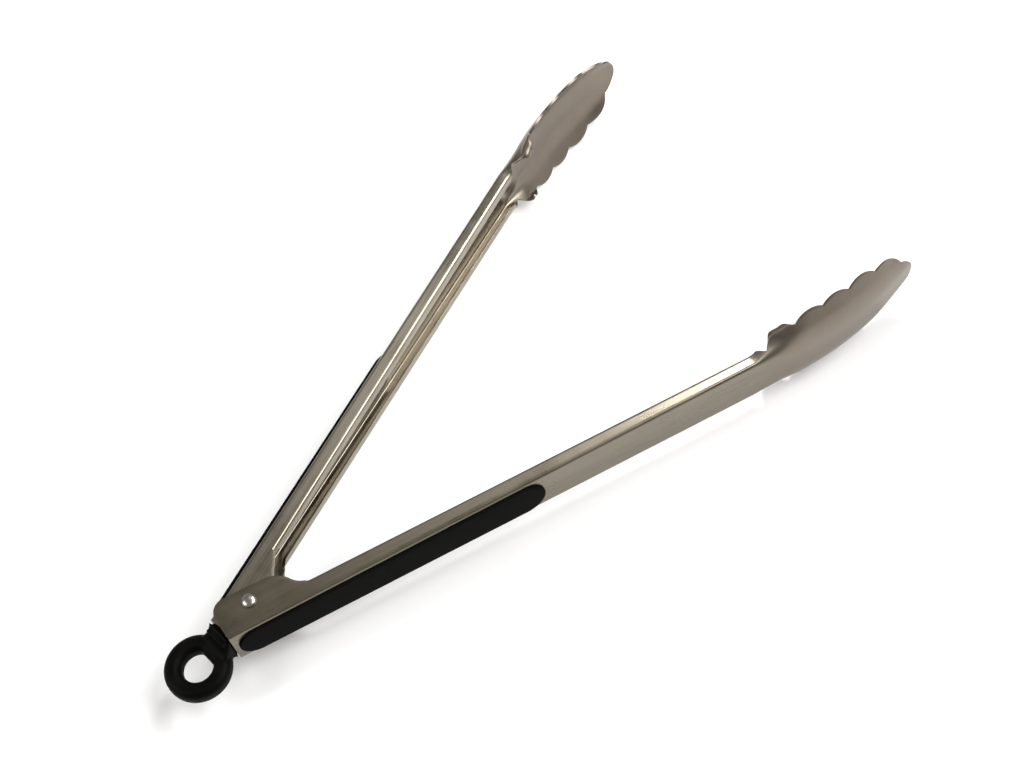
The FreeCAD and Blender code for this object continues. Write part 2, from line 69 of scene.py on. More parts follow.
# shader maths: a socket that can be added, multiplied and so on
class Flow:
    def __init__(self, look, socket):
        self.look, self.socket = look, socket

    def maths(self, operation, *values):
        sockets = {i: v for i, v in enumerate((self,) + values)}
        return self.look.add("ShaderNodeMath", {"operation": operation}, sockets)

    def __add__(self, other): return self.maths("ADD", other)
    def __radd__(self, other): return self.maths("ADD", other)
    def __sub__(self, other): return self.maths("SUBTRACT", other)
    def __mul__(self, other): return self.maths("MULTIPLY", other)
    def __rmul__(self, other): return self.maths("MULTIPLY", other)

    def __rsub__(self, other):
        return self.look.add("ShaderNodeMath", {"operation": "SUBTRACT"}, {0: other, 1: self})


class Look:
    def __init__(self, name):
        self.material = bpy.data.materials.new(name)
        self.material.use_nodes = True
        self.tree = self.material.node_tree
        self.tree.nodes.clear()

    def add(self, kind, settings=None, sockets=None, out=0):
        node = self.tree.nodes.new(kind)
        for key, value in (settings or {}).items():
            setattr(node, key, value)
        for key, value in (sockets or {}).items():
            if isinstance(value, Flow):
                self.tree.links.new(value.socket, node.inputs[key])
            else:
                node.inputs[key].default_value = value
        return Flow(self, node.outputs[out]) if node.outputs else node

    def place(self, offset=(0, 0, 0), turn=0.0, stretch=(1, 1, 1)):
        here = self.add("ShaderNodeTexCoord", out=3)
        turned = self.add("ShaderNodeMapping", {"vector_type": "POINT"},
                          {"Vector": here, "Location": offset, "Rotation": (0, 0, turn)})
        return self.add("ShaderNodeMapping", {"vector_type": "POINT"}, {"Vector": turned, "Scale": stretch})

    def noise(self, where, scale=1.0, detail=3.0, rough=0.55, seed=0.0):
        return self.add("ShaderNodeTexNoise", {"noise_dimensions": "4D"},
                        {"Vector": where, "Scale": scale, "Detail": detail, "Roughness": rough, "W": seed})

    def mapped(self, value, low, high, toLow=0.0, toHigh=1.0, smooth=False):
        settings = {"interpolation_type": "SMOOTHSTEP" if smooth else "LINEAR", "clamp": True}
        sockets = {"Value": value, 1: low, 2: high, 3: toLow, 4: toHigh}
        return self.add("ShaderNodeMapRange", settings, sockets)

    def blend(self, share, first, second):
        return self.add("ShaderNodeMix", {"data_type": "RGBA"}, {0: share, 6: first, 7: second}, out=2)

    def bump(self, height, strength, distance):
        return self.add("ShaderNodeBump", None, {"Height": height, "Strength": strength, "Distance": distance})

    def finish(self, **sockets):
        names = {"colour": "Base Color", "rough": "Roughness", "metal": "Metallic", "normal": "Normal",
                 "specular": "Specular IOR Level"}
        shader = self.add("ShaderNodeBsdfPrincipled", None, {names[k]: v for k, v in sockets.items()})
        self.add("ShaderNodeOutputMaterial", None, {"Surface": shader})
        return self.material


# materials
steel = {
    "tone": (0.225, 0.200, 0.155, 1), "deepTone": (0.160, 0.140, 0.105, 1),
    "headTone": (0.178, 0.150, 0.122, 1), "headPale": (0.215, 0.184, 0.152, 1),
    "rough": 0.27, "streakRough": 0.13, "headRough": 0.36,
    "lineScale": 2600.0, "lineStretch": 0.010, "lineDepth": 0.000035, "lineStrength": 0.35,
    "headFrom": 0.200, "headTo": 0.222, "grainScale": 1500.0,
}


def brushedSteel(name, side, tone=None, headless=False):
    look = Look(name)
    inverse = (Matrix.Rotation(-side * openAngle, 4, "Z") @ -hinge)
    lines = look.place(tuple(inverse), -side * openAngle, (steel["lineStretch"], 1, 1))
    plain = look.place(tuple(inverse), -side * openAngle)
    fine = look.noise(lines, steel["lineScale"], 4.0, 0.6, 1.7)
    broad = look.noise(lines, steel["lineScale"] * 0.22, 2.0, 0.5, 4.1)
    smudge = look.noise(plain, 55.0, 3.0, 0.6, 8.3)
    pits = look.noise(plain, steel["grainScale"], 2.0, 0.5, 2.9)
    reach = look.add("ShaderNodeSeparateXYZ", None, {0: plain})
    head = 0.0 if headless else look.mapped(reach, steel["headFrom"], steel["headTo"], smooth=True)
    streak = fine * 0.6 + broad * 0.4
    shade = look.mapped(streak * 0.75 + smudge * 0.25, 0.34, 0.66)
    base = look.blend(shade, steel["deepTone"], tone or steel["tone"])
    cloudy = look.mapped(smudge, 0.4, 0.64, smooth=True)
    if headless:
        colour = base
        rough = steel["rough"] + steel["streakRough"] * (streak - 0.5) + 0.05 * cloudy
        height = streak
    else:
        satin = look.blend(cloudy * 0.5 + pits * 0.3, steel["headTone"], steel["headPale"])
        colour = look.blend(head, base, satin)
        plainRough = steel["rough"] + steel["streakRough"] * (streak - 0.5) + 0.06 * cloudy
        satinRough = steel["headRough"] + 0.10 * (pits - 0.5) + 0.05 * cloudy
        rough = plainRough * (1 - head) + satinRough * head
        height = streak * (1 - 0.8 * head) + pits * 0.35 * head
    normal = look.bump(height, steel["lineStrength"], steel["lineDepth"])
    return look.finish(colour=colour, rough=rough, metal=1.0, normal=normal)


softBlack = {"tone": (0.0018, 0.0017, 0.0015, 1), "dust": (0.007, 0.0065, 0.0057, 1), "depth": 0.00004,
             "specular": 0.04}


def blackMoulding(name, rough, grainScale, strength, dusty=0.35):
    look = Look(name)
    where = look.place()
    grain = look.noise(where, grainScale, 3.0, 0.6, 3.3)
    cell = look.add("ShaderNodeTexVoronoi", {"feature": "F1"}, {"Vector": where, "Scale": grainScale * 0.8})
    cloud = look.noise(where, 120.0, 4.0, 0.6, 6.1)
    dust = look.mapped(cloud, 0.5, 0.78, 0.0, dusty, smooth=True)
    colour = look.blend(dust, softBlack["tone"], softBlack["dust"])
    height = grain * 0.6 + cell * 0.4
    normal = look.bump(height, strength, softBlack["depth"])
    uneven = rough + 0.12 * (cloud - 0.5) + 0.06 * (grain - 0.5)
    return look.finish(colour=colour, rough=uneven, normal=normal, specular=softBlack["specular"])


def polishedSteel(name):
    look = Look(name)
    where = look.place(tuple(-hinge))
    scratch = look.noise(look.place(tuple(-hinge), 0.6, (0.05, 1, 1)), 5200.0, 2.0, 0.6, 5.2)
    stain = look.noise(where, 900.0, 3.0, 0.6, 1.1)
    colour = look.blend(look.mapped(stain, 0.45, 0.75), (0.40, 0.38, 0.35, 1), (0.28, 0.26, 0.23, 1))
    rough = 0.22 + 0.12 * look.mapped(stain, 0.4, 0.8) + 0.06 * scratch
    return look.finish(colour=colour, rough=rough, metal=1.0, normal=look.bump(scratch, 0.2, 0.00001))


def paleAcetal(name):
    look = Look(name)
    where = look.place(tuple(-hinge))
    cloud = look.noise(where, 260.0, 4.0, 0.6, 2.4)
    grain = look.noise(where, 2600.0, 2.0, 0.5, 7.7)
    colour = look.blend(look.mapped(cloud, 0.4, 0.7), (0.74, 0.73, 0.68, 1), (0.63, 0.61, 0.55, 1))
    normal = look.bump(grain, 0.25, 0.00002)
    return look.finish(colour=colour, rough=0.42 + 0.1 * (cloud - 0.5), normal=normal)


def drawnWire(name):
    look = Look(name)
    where = look.place(tuple(-hinge))
    drawn = look.noise(where, 3400.0, 3.0, 0.6, 9.2)
    cloud = look.noise(where, 300.0, 3.0, 0.5, 0.6)
    colour = look.blend(look.mapped(cloud, 0.4, 0.7), (0.50, 0.49, 0.47, 1), (0.36, 0.34, 0.31, 1))
    normal = look.bump(drawn, 0.2, 0.00001)
    return look.finish(colour=colour, rough=0.26 + 0.16 * drawn, metal=1.0, normal=normal)


finishes = {
    "outerSteel": brushedSteel("outerArmSteel", -1),
    # the inner arm is the same steel as the outer arm, given a paler tone: painted light that brightens the
    # whole inner arm
    "innerSteelPaintedLight": brushedSteel("innerArmSteelPaintedLight", 1, (0.40, 0.36, 0.295, 1)),
    "plateSteel": brushedSteel("lockPlateSteel", 0, (0.40, 0.37, 0.33, 1), headless=True),
    "grip": blackMoulding("gripRubber", 0.72, 1700.0, 0.30, 0.30),
    "carrier": brushedSteel("carrierSteel", 0, (0.30, 0.27, 0.22, 1), headless=True),
    "ring": blackMoulding("ringPlastic", 0.50, 1500.0, 0.45, 0.45),
    "rivet": polishedSteel("rivetSteel"),
    "spool": paleAcetal("spoolAcetal"),
    "wire": drawnWire("springWire"),
}
print("materials made")


# mesh helpers
def meshPiece(name, form, matrix):
    form.transform(matrix)
    mesh = bpy.data.meshes.new(name)
    form.to_mesh(mesh)
    form.free()
    piece = bpy.data.objects.new(name, mesh)
    bpy.context.scene.collection.objects.link(piece)
    return piece


def faceOut(piece):
    form = bmesh.new()
    form.from_mesh(piece.data)
    bmesh.ops.recalc_face_normals(form, faces=form.faces)
    form.to_mesh(piece.data)
    form.free()
    return piece


def gridPiece(name, rows, matrix, skip=None):
    form = bmesh.new()
    grid = [[form.verts.new(point) for point in row] for row in rows]
    for i in range(len(rows) - 1):
        for j in range(len(rows[0]) - 1):
            if skip and skip(rows[i][j], rows[i + 1][j + 1]):
                continue
            form.faces.new((grid[i][j], grid[i][j + 1], grid[i + 1][j + 1], grid[i + 1][j]))
    bmesh.ops.remove_doubles(form, verts=form.verts, dist=0.006)
    bmesh.ops.dissolve_degenerate(form, edges=form.edges, dist=0.004)
    return meshPiece(name, form, matrix)


def settle(piece, sharpAngle=40.0):
    # modifiers become plain mesh, then smooth shading with the real edges kept sharp
    depsgraph = bpy.context.evaluated_depsgraph_get()
    mesh = bpy.data.meshes.new_from_object(piece.evaluated_get(depsgraph))
    piece.modifiers.clear()
    piece.data = mesh
    mesh.name = piece.name
    mesh.shade_smooth()
    mesh.set_sharp_from_angle(angle=math.radians(sharpAngle))
    return piece


def dress(piece, material):
    piece.data.materials.clear()
    piece.data.materials.append(material)
    return piece


def spread(low, high, count):
    return [low + (high - low) * i / count for i in range(count + 1)]


def arcPoints(first, middle, last, count):
    # circle through three points, walked from the first to the last
    ax, ay = first
    bx, by = middle
    cx, cy = last
    d = 2 * (ax * (by - cy) + bx * (cy - ay) + cx * (ay - by))
    squareA, squareB, squareC = ax * ax + ay * ay, bx * bx + by * by, cx * cx + cy * cy
    ux = (squareA * (by - cy) + squareB * (cy - ay) + squareC * (ay - by)) / d
    uy = (squareA * (cx - bx) + squareB * (ax - cx) + squareC * (bx - ax)) / d
    radius = math.hypot(ax - ux, ay - uy)
    angles = [math.atan2(y - uy, x - ux) for x, y in (first, middle, last)]
    turnAll = (angles[2] - angles[0]) % (2 * math.pi)
    turnMid = (angles[1] - angles[0]) % (2 * math.pi)
    if turnMid > turnAll:
        turnAll -= 2 * math.pi
    turns = [angles[0] + turnAll * t for t in spread(0, 1, count)]
    return [(ux + radius * math.cos(a), uy + radius * math.sin(a)) for a in turns]


def lookup(points, x):
    # straight-line reading of a list of (x, value) that runs forwards
    keys = [p[0] for p in points]
    k = min(max(bisect.bisect_right(keys, x), 1), len(keys) - 1)
    (x0, y0), (x1, y1) = points[k - 1], points[k]
    share = 0.0 if x1 == x0 else min(max((x - x0) / (x1 - x0), 0.0), 1.0)
    return y0 + (y1 - y0) * share


def ease(low, high, x):
    t = min(max((x - low) / (high - low), 0.0), 1.0)
    return t * t * (3 - 2 * t)


# arms: one bent sheet each, ear, channel with folded lips, scooped and scalloped head
armSheet = {
    "gauge": 1.0, "taperSpan": 200.0, "webOffset": 9.9, "webRise": 3.1, "rimOffset": 3.1, "rimRise": 4.7,
    "bendRadius": 1.6, "lipBend": 1.15, "lipWidth": 3.0, "lipStart": 22.5, "lipEnd": 208.0,
    "rearRake": 0.13, "rakeFade": 14.0, "headStart": 204.0, "edgeRound": 0.11,
    "windowRear": 26.0, "windowFront": 104.0, "windowHalf": 4.9,
}
armKinds = {
    "outer": {"side": -1, "width": 19.3, "widen": 3.2, "body": "outer_side", "node": "outer_arm",
              "name": "outerArm", "finish": "outerSteel"},
    "inner": {"side": 1, "width": 16.5, "widen": 5.8, "body": "inner_side", "node": "inner_arm",
              "name": "innerArm", "finish": "innerSteelPaintedLight"},
}
headForm = {
    # distance, spine, flat half, shoulder radius, shoulder turn
    "stations": ((211.0, 13.4, 7.9, 4.6, 70.0), (217.0, 13.7, 6.6, 8.0, 55.0), (227.0, 13.8, 5.0, 19.0, 34.0),
                 (240.0, 13.2, 4.5, 21.0, 31.0), (252.0, 11.6, 4.5, 21.0, 31.0), (265.0, 8.7, 4.5, 19.0, 32.0),
                 (277.0, 4.6, 3.8, 13.5, 38.0), (287.0, 0.7, 3.2, 11.0, 43.0)),
    # valley distance, half width there, bulge of the lobe after it
    "valleys": ((212.0, 12.7, 0.9), (225.0, 17.7, 2.1), (238.0, 19.1, 1.8),
                (250.5, 18.6, 2.3), (264.2, 17.0, 2.6), (278.5, 9.4, 0.0)),
    "tipReach": 285.0, "neckDepth": 10.3,
    # the first lobe curls inwards
    "curlFrom": 212.2, "curlTo": 224.9, "curlWidth": 1.2, "curlTurn": 140.0, "curlRadius": 2.3,
    "curlKink": 28.0, "curlSwell": 1.4, "curlTight": 0.35,
}
acrossCounts = {"floor": 7, "shoulder": 11, "wall": 7, "fold": 8, "lip": 3}


def channelLine(base, rise, x):
    return armSheet[base] + armSheet[rise] * x / armSheet["taperSpan"]


def outerEarRim():
    points = arcPoints((-13.4, 0.8), (-12.6, -3.5), (-8.4, -5.8), 14)
    points += [(7.0, -5.1)] + arcPoints((7.0, -5.1), (12.6, -3.8), (16.4, -0.2), 12)[1:]
    meet = (23.0, channelLine("rimOffset", "rimRise", 23.0))
    points += arcPoints((16.4, -0.2), (19.0, 2.4), meet, 10)[1:]
    return points


def innerEarRim():
    sweep = 7.9
    low = [(-sweep * math.cos(math.radians(a)), -sweep * math.sin(math.radians(a))) for a in spread(12, 118, 24)]
    return [(-12.9, 2.2)] + low + [(21.5, channelLine("rimOffset", "rimRise", 21.5))]


def lobeHalf(x):
    # half width of the scalloped head at a distance from the hinge
    valleys = headForm["valleys"]
    last = valleys[-1]
    if x >= last[0]:
        sag = headForm["tipReach"] - last[0]
        radius = (last[1] ** 2 + sag ** 2) / (2 * sag)
        return math.sqrt(max(radius ** 2 - (x - headForm["tipReach"] + radius) ** 2, 0.0))
    for (x0, z0, bulge), (x1, z1, _) in zip(valleys, valleys[1:]):
        if x0 <= x <= x1:
            run, climb = x1 - x0, z1 - z0
            length = math.hypot(run, climb)
            middle = ((x0 + x1) / 2 - climb / length * bulge, (z0 + z1) / 2 + run / length * bulge)
            arc = arcPoints((x0, z0), middle, (x1, z1), 40)
            return lookup(arc, x)
    return valleys[0][1]


def stationAt(kind, x):
    half = (kind["width"] + kind["widen"] * x / armSheet["taperSpan"]) / 2
    bend = armSheet["bendRadius"]
    start = armSheet["headStart"]
    if x <= start:
        return (channelLine("webOffset", "webRise", x), half - bend, bend, 90.0)
    halfStart = (kind["width"] + kind["widen"] * start / armSheet["taperSpan"]) / 2
    first = (start, channelLine("webOffset", "webRise", start), halfStart - bend, bend, 90.0)
    knots = (first,) + headForm["stations"]
    k = max(i for i in range(len(knots) - 1) if knots[i][0] <= x or i == 0)
    out = []
    for column in range(1, 5):
        def slope(i):
            if i == 0:
                return armSheet["webRise"] / armSheet["taperSpan"] if column == 1 else 0.0
            if i == len(knots) - 1:
                return (knots[i][column] - knots[i - 1][column]) / (knots[i][0] - knots[i - 1][0])
            before = (knots[i][column] - knots[i - 1][column]) / (knots[i][0] - knots[i - 1][0])
            after = (knots[i + 1][column] - knots[i][column]) / (knots[i + 1][0] - knots[i][0])
            return 0.0 if before * after <= 0 and column > 1 else (before + after) / 2
        span = knots[k + 1][0] - knots[k][0]
        t = (x - knots[k][0]) / span
        out.append((2 * t ** 3 - 3 * t ** 2 + 1) * knots[k][column]
                   + (t ** 3 - 2 * t ** 2 + t) * span * slope(k)
                   + (3 * t ** 2 - 2 * t ** 3) * knots[k + 1][column]
                   + (t ** 3 - t ** 2) * span * slope(k + 1))
    return tuple(out)


def lipAt(x):
    # how wide the folded lip is, and how far it is folded
    start, end = armSheet["lipStart"], armSheet["lipEnd"]
    channelShare = ease(start - 1.2, start + 1.4, x) * (1 - ease(end - 2.0, end, x))
    span = (x - headForm["curlFrom"]) / (headForm["curlTo"] - headForm["curlFrom"])
    curlShare = math.sin(math.pi * span) ** headForm["curlSwell"] if 0 < span < 1 else 0.0
    width = armSheet["lipWidth"] * channelShare + headForm["curlWidth"] * curlShare
    fold = 90.0 * ease(start - 2.2, start - 0.8, x) * (1 - ease(end - 1.0, end + 0.3, x))
    fold += headForm["curlTurn"] * curlShare
    return width, fold, curlShare


def halfSection(kind, x, rim):
    # points from the middle of the web to the free edge, as (y, z)
    spine, flat, radius, turnDegrees = stationAt(kind, x)
    turnAngle = math.radians(turnDegrees)
    width, fold, curlShare = lipAt(x)
    foldAngle = math.radians(fold)
    shoulderEnd = (spine - radius * (1 - math.cos(turnAngle)), flat + radius * math.sin(turnAngle))
    down = (-math.sin(turnAngle), math.cos(turnAngle))
    bend = armSheet["lipBend"]
    if x > headForm["curlFrom"]:
        bend = headForm["curlTight"] + (headForm["curlRadius"] - headForm["curlTight"]) * curlShare
    # the lip's fold starts in line with the wall, the first lobe's curl starts with a kink outwards
    foldStart = turnAngle - math.radians(headForm["curlKink"]) * curlShare
    flatEnd, arcEnd = flat, turnAngle
    if x <= armSheet["headStart"]:
        wall = shoulderEnd[0] - lookup(rim, x) - bend * math.sin(foldAngle)
    else:
        half = lobeHalf(x)
        neck = headForm["valleys"][0][0]
        channelDepth = channelLine("rimOffset", "rimRise", x)
        towardsNeck = ease(armSheet["lipEnd"] - 0.5, neck, x)
        depth = channelDepth + (headForm["neckDepth"] - channelDepth) * towardsNeck
        byWidth = (half - shoulderEnd[1] - bend * (1 - math.sin(foldStart)) * curlShare) / max(down[1], 0.02)
        byDepth = (shoulderEnd[0] - depth - bend * math.sin(foldAngle)) / max(-down[0], 0.05)
        wall = byDepth if x < neck else byWidth
        if wall < 0:
            wall = 0.0
            if half <= flat:
                flatEnd, arcEnd = half, 0.0
            else:
                arcEnd = min(math.asin(min((half - flat) / radius, 1.0)), turnAngle)
    points = [(spine, flatEnd * t) for t in spread(0, 1, acrossCounts["floor"])]
    for a in spread(0, arcEnd, acrossCounts["shoulder"])[1:]:
        points.append((spine - radius * (1 - math.cos(a)), flatEnd + radius * math.sin(a)))
    y, z = points[-1]
    for t in spread(0, wall, acrossCounts["wall"])[1:]:
        points.append((y + down[0] * t, z + down[1] * t))
    y, z = points[-1]
    for a in spread(0, foldAngle, acrossCounts["fold"])[1:]:
        points.append((y - bend * (math.cos(foldStart) - math.cos(foldStart + a)),
                       z + bend * (math.sin(foldStart + a) - math.sin(foldStart))))
    y, z = points[-1]
    heading = foldStart + foldAngle
    for t in spread(0, width, acrossCounts["lip"])[1:]:
        points.append((y - math.sin(heading) * t, z + math.cos(heading) * t))
    return points


def armStations():
    rows = spread(-13.4, 24.0, 84)
    rows += spread(24.0, armSheet["headStart"] - 3, 62)[1:]
    rows += spread(armSheet["headStart"] - 3, headForm["valleys"][0][0], 20)[1:]
    for first, second in zip(headForm["valleys"], headForm["valleys"][1:]):
        rows += spread(first[0], second[0], 22)[1:]
    last = headForm["valleys"][-1]
    sag = headForm["tipReach"] - last[0]
    radius = (last[1] ** 2 + sag ** 2) / (2 * sag)
    centre = headForm["tipReach"] - radius
    opening = math.asin((last[0] - centre) / radius)
    rows += [centre + radius * math.sin(a) for a in spread(opening, math.pi / 2, 26)[1:]]
    return rows


def makeArm(key):
    kind = armKinds[key]
    rim = outerEarRim() if key == "outer" else innerEarRim()
    rim += [(300.0, channelLine("rimOffset", "rimRise", 300.0))]
    rear = rim[0][0]
    rows = []
    for x in armStations():
        x = max(x, rear)
        half = halfSection(kind, x, rim)
        fade = 1 - ease(rear, rear + armSheet["rakeFade"], x)
        row = []
        for mirror, part in ((-1, half[:0:-1]), (1, half)):
            for y, z in part:
                # the rear edge leans forwards towards the web
                lean = armSheet["rearRake"] * (y - rim[0][1]) * fade if y > rim[0][1] else 0.0
                row.append((x + lean, y, mirror * z))
        rows.append(row)
    rear, front, halfWindow = armSheet["windowRear"], armSheet["windowFront"], armSheet["windowHalf"]

    def inWindow(low, high):
        web = channelLine("webOffset", "webRise", low[0])
        return (rear < low[0] and high[0] < front and abs(low[2]) < halfWindow and abs(high[2]) < halfWindow
                and low[1] > web - 0.2)

    piece = gridPiece(kind["name"], rows, armPlace(kind["side"]), inWindow)
    wall = piece.modifiers.new("gauge", "SOLIDIFY")
    wall.thickness = armSheet["gauge"] * mm
    wall.offset = -1.0
    wall.use_even_offset = True
    edge = piece.modifiers.new("edge", "BEVEL")
    edge.width = armSheet["edgeRound"] * mm
    edge.segments = 2
    edge.limit_method = "ANGLE"
    edge.angle_limit = math.radians(50)
    settle(piece, 38)
    dress(piece, finishes[kind["finish"]])
    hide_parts(kind["node"])
    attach(piece, kind["body"])
    print(kind["name"], "faces", len(piece.data.polygons))
    return piece


for armKey in armKinds:
    makeArm(armKey)


# grips: crowned pads on the outside of each web
gripPad = {"rear": -10.4, "front": 113.8, "rearRadius": 7.6, "frontRadius": 8.7, "gauge": 1.25, "seat": 0.02,
           "edge": 0.62, "around": 220, "rings": 14, "crown": 0.16}


def padOutline():
    rear, front = gripPad["rear"], gripPad["front"]
    rr, fr = gripPad["rearRadius"], gripPad["frontRadius"]
    centres = (rear + rr, front - fr)
    lean = math.asin((fr - rr) / (centres[1] - centres[0]))
    pairs = []
    for a in spread(-math.pi / 2 - lean, math.pi / 2 + lean, 40):
        pairs.append(((centres[1], 0.0), (centres[1] + fr * math.cos(a), fr * math.sin(a))))
    for t in spread(0, 1, 60)[1:-1]:
        x = centres[1] + (centres[0] - centres[1]) * t
        radius = fr + (rr - fr) * t
        pairs.append(((x, 0.0), (x - radius * math.sin(lean), radius * math.cos(lean))))
    for a in spread(math.pi / 2 + lean, 3 * math.pi / 2 - lean, 40):
        pairs.append(((centres[0], 0.0), (centres[0] + rr * math.cos(a), rr * math.sin(a))))
    for t in spread(0, 1, 60)[1:]:
        x = centres[0] + (centres[1] - centres[0]) * t
        radius = rr + (fr - rr) * t
        pairs.append(((x, 0.0), (x - radius * math.sin(lean), -radius * math.cos(lean))))
    return pairs


def makeGrip(name, node, side, body):
    tilt = math.atan2(armSheet["webRise"], armSheet["taperSpan"])
    place = armPlace(side) @ Matrix.Translation((0, armSheet["webOffset"], 0)) @ Matrix.Rotation(tilt, 4, "Z")
    form = bmesh.new()
    outline = padOutline()
    gauge, edge = gripPad["gauge"], gripPad["edge"]
    radius = gripPad["frontRadius"]
    rings = []
    # from the middle line out over the crown, round the edge and back under
    profile = [(t * (1 - edge / radius), gauge - gripPad["crown"] * t ** 3) for t in spread(0, 1, 8)]
    for a in spread(0, math.pi / 2, 5)[1:]:
        profile.append((1 - edge / radius * (1 - math.sin(a)),
                        gauge - gripPad["crown"] - edge * 0.9 * (1 - math.cos(a))))
    profile += [(1.0, gripPad["seat"]), (0.5, gripPad["seat"]), (0.0, gripPad["seat"])]
    for share, height in profile:
        rings.append([form.verts.new((s[0] + (p[0] - s[0]) * share, height, s[1] + (p[1] - s[1]) * share))
                      for s, p in outline])
    count = len(outline)
    for inner, outer in zip(rings, rings[1:]):
        for i in range(count):
            j = (i + 1) % count
            form.faces.new((inner[i], inner[j], outer[j], outer[i]))
    bmesh.ops.remove_doubles(form, verts=form.verts, dist=0.004)
    bmesh.ops.dissolve_degenerate(form, edges=form.edges, dist=0.003)
    bmesh.ops.recalc_face_normals(form, faces=form.faces)
    piece = meshPiece(name, form, place)
    settle(piece, 50)
    dress(piece, finishes["grip"])
    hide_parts(node)
    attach(piece, body)
    return piece


makeGrip("outerGripPad", "outer_grip", -1, "outer_side")
makeGrip("innerGripPad", "inner_grip", 1, "inner_side")
print("grips made")


# Geometry Nodes helpers
class Tree:
    def __init__(self, name, inputs):
        self.group = bpy.data.node_groups.new(name, "GeometryNodeTree")
        face = self.group.interface
        face.new_socket(name="Geometry", in_out="OUTPUT", socket_type="NodeSocketGeometry")
        self.sockets = {}
        for label, value in inputs.items():
            kind = "NodeSocketInt" if isinstance(value, int) else "NodeSocketFloat"
            self.sockets[label] = face.new_socket(name=label, in_out="INPUT", socket_type=kind)
        self.entry = self.group.nodes.new("NodeGroupInput")

    def inlet(self, label):
        return self.entry.outputs[label]

    def add(self, kind, settings=None, sockets=None, out=0):
        node = self.group.nodes.new(kind)
        for key, value in (settings or {}).items():
            setattr(node, key, value)
        for key, value in (sockets or {}).items():
            if isinstance(value, bpy.types.NodeSocket):
                self.group.links.new(value, node.inputs[key])
            else:
                node.inputs[key].default_value = value
        return node.outputs[out]

    def close(self, geometry, material):
        real = self.add("GeometryNodeRealizeInstances", None, {"Geometry": geometry})
        done = self.add("GeometryNodeSetMaterial", None, {"Geometry": real, "Material": material})
        exitNode = self.group.nodes.new("NodeGroupOutput")
        self.group.links.new(done, exitNode.inputs[0])


def growMesh(name, tree, inputs):
    # runs a tree once and keeps its result as a plain mesh
    mesh = bpy.data.meshes.new(name)
    piece = bpy.data.objects.new(name, mesh)
    bpy.context.scene.collection.objects.link(piece)
    maker = piece.modifiers.new("grow", "NODES")
    maker.node_group = tree.group
    for label, value in inputs.items():
        maker[tree.sockets[label].identifier] = value
    bpy.context.view_layer.update()
    depsgraph = bpy.context.evaluated_depsgraph_get()
    grown = bpy.data.meshes.new_from_object(piece.evaluated_get(depsgraph))
    piece.modifiers.remove(maker)
    piece.data = grown
    return piece


def placeMesh(piece, matrix):
    piece.data.transform(matrix)
    piece.data.update()
    return piece


# spring: wound coil on the core, a straight leg reaching across to each arm
spring = {"wireRadius": 0.75, "coilRadius": 3.5, "pitch": 1.6, "wholeTurns": 5.0, "floor": -2.05,
          "legReach": 20.0, "webGap": 0.35, "sides": 16, "stepsPerTurn": 48}


def springLean():
    inside = armSheet["webOffset"] - armSheet["gauge"] - spring["wireRadius"] - spring["webGap"]
    rise = armSheet["webRise"] * spring["legReach"] / armSheet["taperSpan"]
    return math.atan2(inside + rise - spring["coilRadius"], spring["legReach"])


def coilTree():
    labels = {"Turns": 5.0, "Coil radius": 3.5, "Rise": 7.0, "Wire radius": 0.75, "Steps per turn": 48,
              "Wire sides": 16}
    tree = Tree("coilWinding", labels)
    line = tree.add("GeometryNodeCurveSpiral", None,
                    {"Resolution": tree.inlet("Steps per turn"), "Rotations": tree.inlet("Turns"),
                     "Start Radius": tree.inlet("Coil radius"), "End Radius": tree.inlet("Coil radius"),
                     "Height": tree.inlet("Rise")})
    ring = tree.add("GeometryNodeCurvePrimitiveCircle", None,
                    {"Resolution": tree.inlet("Wire sides"), "Radius": tree.inlet("Wire radius")})
    wire = tree.add("GeometryNodeCurveToMesh", None,
                    {"Curve": line, "Profile Curve": ring, "Fill Caps": True})
    smooth = tree.add("GeometryNodeSetShadeSmooth", None, {"Geometry": wire})
    tree.close(smooth, finishes["wire"])
    return tree


def makeSpring():
    start = math.pi / 2 + openAngle + springLean()
    sweep = 2 * math.pi * spring["wholeTurns"] - 2 * start
    rise = spring["pitch"] * sweep / (2 * math.pi)
    values = {"Turns": sweep / (2 * math.pi), "Coil radius": spring["coilRadius"], "Rise": rise,
              "Wire radius": spring["wireRadius"], "Steps per turn": spring["stepsPerTurn"],
              "Wire sides": spring["sides"]}
    coil = growMesh("springCoil", coilTree(), values)
    local = Matrix.Translation((0, 0, spring["floor"])) @ Matrix.Rotation(start, 4, "Z")
    placeMesh(coil, hingePlace() @ local)
    settle(coil, 60)
    dress(coil, finishes["wire"])
    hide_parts("torsion_spring")
    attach(coil, "hinge_core")
    legs = (("springLegInner", start, spring["floor"], -1, "inner_side"),
            ("springLegOuter", -start, spring["floor"] + rise, 1, "outer_side"))
    for name, angle, level, heading, body in legs:
        foot = Vector((spring["coilRadius"] * math.cos(angle), spring["coilRadius"] * math.sin(angle), level))
        way = Vector((-math.sin(angle), math.cos(angle), 0)) * heading
        leg = makeLeg(name, foot, way)
        begin, finish = hingePlace() @ foot, hingePlace() @ (foot + way * spring["legReach"])
        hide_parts("torsion_spring")
        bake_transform(leg)


